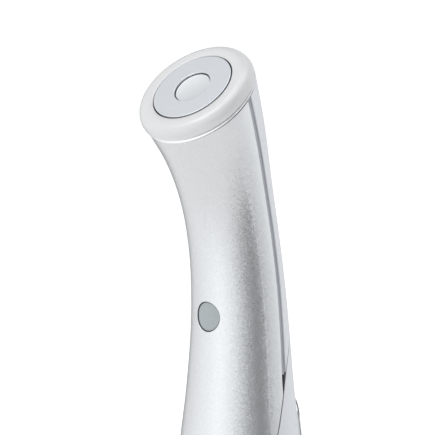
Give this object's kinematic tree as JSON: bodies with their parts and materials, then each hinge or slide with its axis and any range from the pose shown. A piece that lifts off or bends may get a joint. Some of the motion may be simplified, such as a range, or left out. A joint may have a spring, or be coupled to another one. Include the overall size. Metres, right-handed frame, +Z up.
{
  "type": "skin scrubber",
  "caption": "Handheld facial care device: curved handle, round forward-leaning head with two concentric electrodes inside a light ring, one front button and a rear hand electrode.",
  "frame": {"origin": "centre of the flat base face that the device stands on", "axes": "+Z up along the handle, -Y the front with the button, where the head leans, +X the device's left side seen from its front"},
  "size_m": [0.0426, 0.0611, 0.172],
  "materials": {
    "silver_lacquer": "satin metallic silver lacquer with a fine sparkle",
    "pearl_lacquer": "cool pearl white, half gloss",
    "trim_grey": "satin blue-grey",
    "opal_plastic": "milky light diffuser, half gloss",
    "electrode_steel": "fine blasted steel, satin",
    "bright_trim": "polished plating",
    "button_grey": "soft-touch grey",
    "inner_plastic": "natural white moulding",
    "piezo_ceramic": "cream ceramic with a silvered face",
    "circuit_board": "green solder mask",
    "led_body": "yellowish phosphor lens",
    "black_plastic": "black moulding",
    "seal_rubber": "dark silicone rubber",
    "screw_steel": "bright zinc",
    "transformer_core": "ferrite core with copper winding",
    "contact_brass": "gold-plated brass",
    "cell_wrap": "blue shrink wrap",
    "lead_red": "red silicone insulation",
    "lead_black": "black silicone insulation"
  },
  "bodies": {
    "device": {"front_shell": "silver_lacquer", "upper_back_shell": "pearl_lacquer", "lower_shell": "pearl_lacquer", "base_cap": "pearl_lacquer", "side_trim_left": "trim_grey", "side_trim_right": "trim_grey", "light_ring": "opal_plastic", "outer_electrode": "electrode_steel", "inner_electrode": "electrode_steel", "head_trim_ring": "bright_trim", "hand_electrode": "bright_trim", "electrode_insulator": "inner_plastic", "head_carrier": "inner_plastic", "inner_frame": "inner_plastic", "transducer_disc": "piezo_ceramic", "led_board": "circuit_board", "main_board": "circuit_board", "charge_board": "circuit_board", "led_1": "led_body", "led_2": "led_body", "led_3": "led_body", "led_4": "led_body", "led_5": "led_body", "led_6": "led_body", "control_chip": "black_plastic", "smoothing_capacitor": "black_plastic", "tact_switch_body": "black_plastic", "head_seal": "seal_rubber", "head_screw_1": "screw_steel", "head_screw_2": "screw_steel", "head_screw_3": "screw_steel", "board_screw_1": "screw_steel", "board_screw_2": "screw_steel", "base_screw_front": "screw_steel", "base_screw_rear": "screw_steel", "drive_transformer": "transformer_core", "battery_contact_top": "contact_brass", "battery_contact_bottom": "contact_brass", "charge_contact_left": "contact_brass", "charge_contact_right": "contact_brass", "battery_cell": "cell_wrap", "transducer_lead_a": "lead_red", "led_lead": "lead_red", "charge_lead_a": "lead_red", "transducer_lead_b": "lead_black", "hand_electrode_lead": "lead_black", "charge_lead_b": "lead_black"},
    "button": {"power_button": "button_grey"},
    "switch_plunger": {"tact_switch_plunger": "seal_rubber"}
  },
  "joints": [
    {"name": "power_button_press", "type": "slide", "parent": "device", "child": "button", "axis": [0, 0.998, 0.0629], "range_m": [0, 0.0006], "stiffness_N_per_m": 1500},
    {"name": "switch_plunger_press", "type": "slide", "parent": "device", "child": "switch_plunger", "axis": [0, 1, 0], "range_m": [0, 0.0008]}
  ],
  "couplings": [
    {"joint": "switch_plunger_press", "follows": "power_button_press", "ratio": 1}
  ]
}
